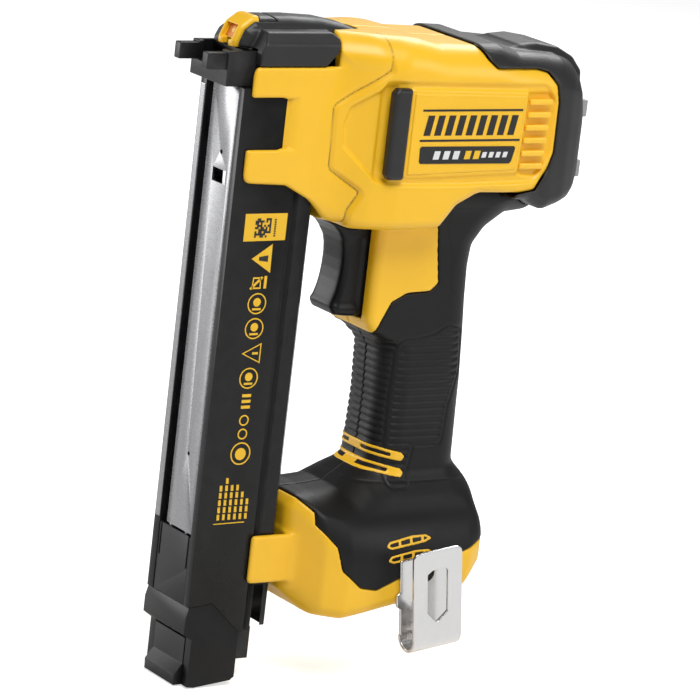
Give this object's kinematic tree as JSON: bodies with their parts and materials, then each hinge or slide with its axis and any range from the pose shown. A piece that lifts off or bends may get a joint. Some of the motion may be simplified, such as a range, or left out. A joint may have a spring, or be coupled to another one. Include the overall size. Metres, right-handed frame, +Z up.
{
  "type": "cordless stapler",
  "caption": "Cordless stapler with a forked nose, a tall sliding magazine, a rubber-skinned pistol grip and an open battery foot with a belt hook.",
  "frame": {"origin": "on the firing axis at the tip of the forked nose", "axes": "+X rearwards along the firing axis, +Y to the tool's left, +Z up along the magazine"},
  "size_m": [0.1905, 0.0888, 0.289],
  "materials": {
    "yellow_plastic": "fine moulded texture, satin",
    "black_plastic": "fine moulded texture, satin",
    "black_rubber": "matt, ribbed",
    "black_aluminium": "black anodised, satin",
    "satin_steel": "satin",
    "brass": "plain",
    "board": "coated board",
    "wire_red": "insulated wire"
  },
  "bodies": {
    "root": {"housing_left": "yellow_plastic", "housing_right": "yellow_plastic", "top_cover": "black_plastic", "jam_release_pin": "satin_steel", "rear_cap": "black_plastic", "side_bumpers": "black_plastic", "side_panels": "yellow_plastic", "grip_overmold_left": "black_rubber", "grip_overmold_right": "black_rubber", "foot_cover_left": "black_plastic", "foot_cover_right": "black_plastic", "housing_screws": "satin_steel", "hook_inserts": "brass", "belt_hook": "satin_steel", "hook_screw": "satin_steel", "magazine_track": "black_aluminium", "nose_body": "satin_steel", "nose_cover": "satin_steel", "nose_screws": "satin_steel", "contact_springs": "satin_steel", "guide_rods": "satin_steel", "drive_springs": "satin_steel", "frame_plates": "satin_steel", "front_bumper": "black_rubber", "bearings": "satin_steel", "gear_case": "black_plastic", "motor_can": "satin_steel", "motor_stator": "satin_steel", "trigger_spring": "satin_steel", "trigger_switch": "black_plastic", "lead_wires": "wire_red", "control_board": "board", "terminal_block": "black_plastic", "terminal_blades": "brass"},
    "contact": {"work_contact": "black_plastic"},
    "striker": {"driver_blade": "satin_steel", "driver_carrier": "satin_steel"},
    "lifter": {"lifter_shaft": "satin_steel", "lifter_wheel": "satin_steel", "crown_gear": "satin_steel"},
    "rotor": {"motor_rotor": "satin_steel", "motor_pinion": "satin_steel", "cooling_fan": "black_plastic"},
    "carrier": {"planet_carrier": "satin_steel", "bevel_pinion": "satin_steel"},
    "planet_1": {"planet_gear_1": "satin_steel"},
    "planet_2": {"planet_gear_2": "satin_steel"},
    "planet_3": {"planet_gear_3": "satin_steel"},
    "trigger": {"trigger": "black_plastic"},
    "jam_latch": {"jam_release_latch": "yellow_plastic"},
    "drawer": {"magazine_front_plate": "satin_steel", "magazine_lower_plate": "black_plastic", "staple_rail": "satin_steel", "staple_strip": "satin_steel", "end_cap": "black_plastic", "latch_pin": "satin_steel", "pusher_spring": "satin_steel", "latch_spring": "satin_steel"},
    "pusher": {"staple_pusher": "black_plastic"},
    "drawer_latch": {"magazine_latch": "black_plastic"}
  },
  "joints": [
    {"name": "contact_trip", "type": "slide", "parent": "root", "child": "contact", "axis": [1, 0, 0], "range_m": [0, 0.005], "stiffness_N_per_m": 300, "springref_m": -0.004, "deforming": ["contact_springs"]},
    {"name": "driver_stroke", "type": "slide", "parent": "root", "child": "striker", "axis": [-1, 0, 0], "range_m": [0, 0.038], "deforming": ["drive_springs"]},
    {"name": "motor_spin", "type": "hinge", "parent": "root", "child": "rotor", "pos_m": [0.138, 0, -0.032], "axis": [1, 0, 0], "continuous": true},
    {"name": "planet_carrier_spin", "type": "hinge", "parent": "root", "child": "carrier", "pos_m": [0.108, 0, -0.032], "axis": [1, 0, 0], "continuous": true},
    {"name": "lifter_spin", "type": "hinge", "parent": "root", "child": "lifter", "pos_m": [0.0835, 0, -0.032], "axis": [0, 1, 0], "continuous": true},
    {"name": "planet_1_spin", "type": "hinge", "parent": "carrier", "child": "planet_1", "pos_m": [0.114, 0, -0.02375], "axis": [1, 0, 0], "continuous": true},
    {"name": "planet_2_spin", "type": "hinge", "parent": "carrier", "child": "planet_2", "pos_m": [0.114, -0.00715, -0.03612], "axis": [1, 0, 0], "continuous": true},
    {"name": "planet_3_spin", "type": "hinge", "parent": "carrier", "child": "planet_3", "pos_m": [0.114, 0.00715, -0.03612], "axis": [1, 0, 0], "continuous": true},
    {"name": "trigger_pull", "type": "slide", "parent": "root", "child": "trigger", "axis": [1, 0, 0], "range_m": [0, 0.006], "stiffness_N_per_m": 700, "springref_m": -0.004, "deforming": ["trigger_spring"]},
    {"name": "jam_latch_swing", "type": "hinge", "parent": "root", "child": "jam_latch", "pos_m": [0.031, 0, 0.0132], "axis": [0, 1, 0], "range_deg": [0, 70]},
    {"name": "drawer_slide", "type": "slide", "parent": "root", "child": "drawer", "axis": [0, 0, -1], "range_m": [0, 0.15]},
    {"name": "pusher_slide", "type": "slide", "parent": "drawer", "child": "pusher", "axis": [0, 0, -1], "range_m": [0, 0.04], "stiffness_N_per_m": 30, "springref_m": -0.16, "deforming": ["pusher_spring"]},
    {"name": "drawer_latch_press", "type": "hinge", "parent": "drawer", "child": "drawer_latch", "pos_m": [0.024, 0, -0.2531], "axis": [0, -1, 0], "range_deg": [0, 6], "stiffness_Nm_per_rad": 0.8, "springref_deg": -5.73, "deforming": ["latch_spring"]}
  ],
  "couplings": [
    {"joint": "planet_carrier_spin", "follows": "motor_spin", "ratio": 0.2},
    {"joint": "lifter_spin", "follows": "motor_spin", "ratio": -0.08},
    {"joint": "planet_1_spin", "follows": "motor_spin", "ratio": -0.53333},
    {"joint": "planet_2_spin", "follows": "motor_spin", "ratio": -0.53333},
    {"joint": "planet_3_spin", "follows": "motor_spin", "ratio": -0.53333}
  ]
}
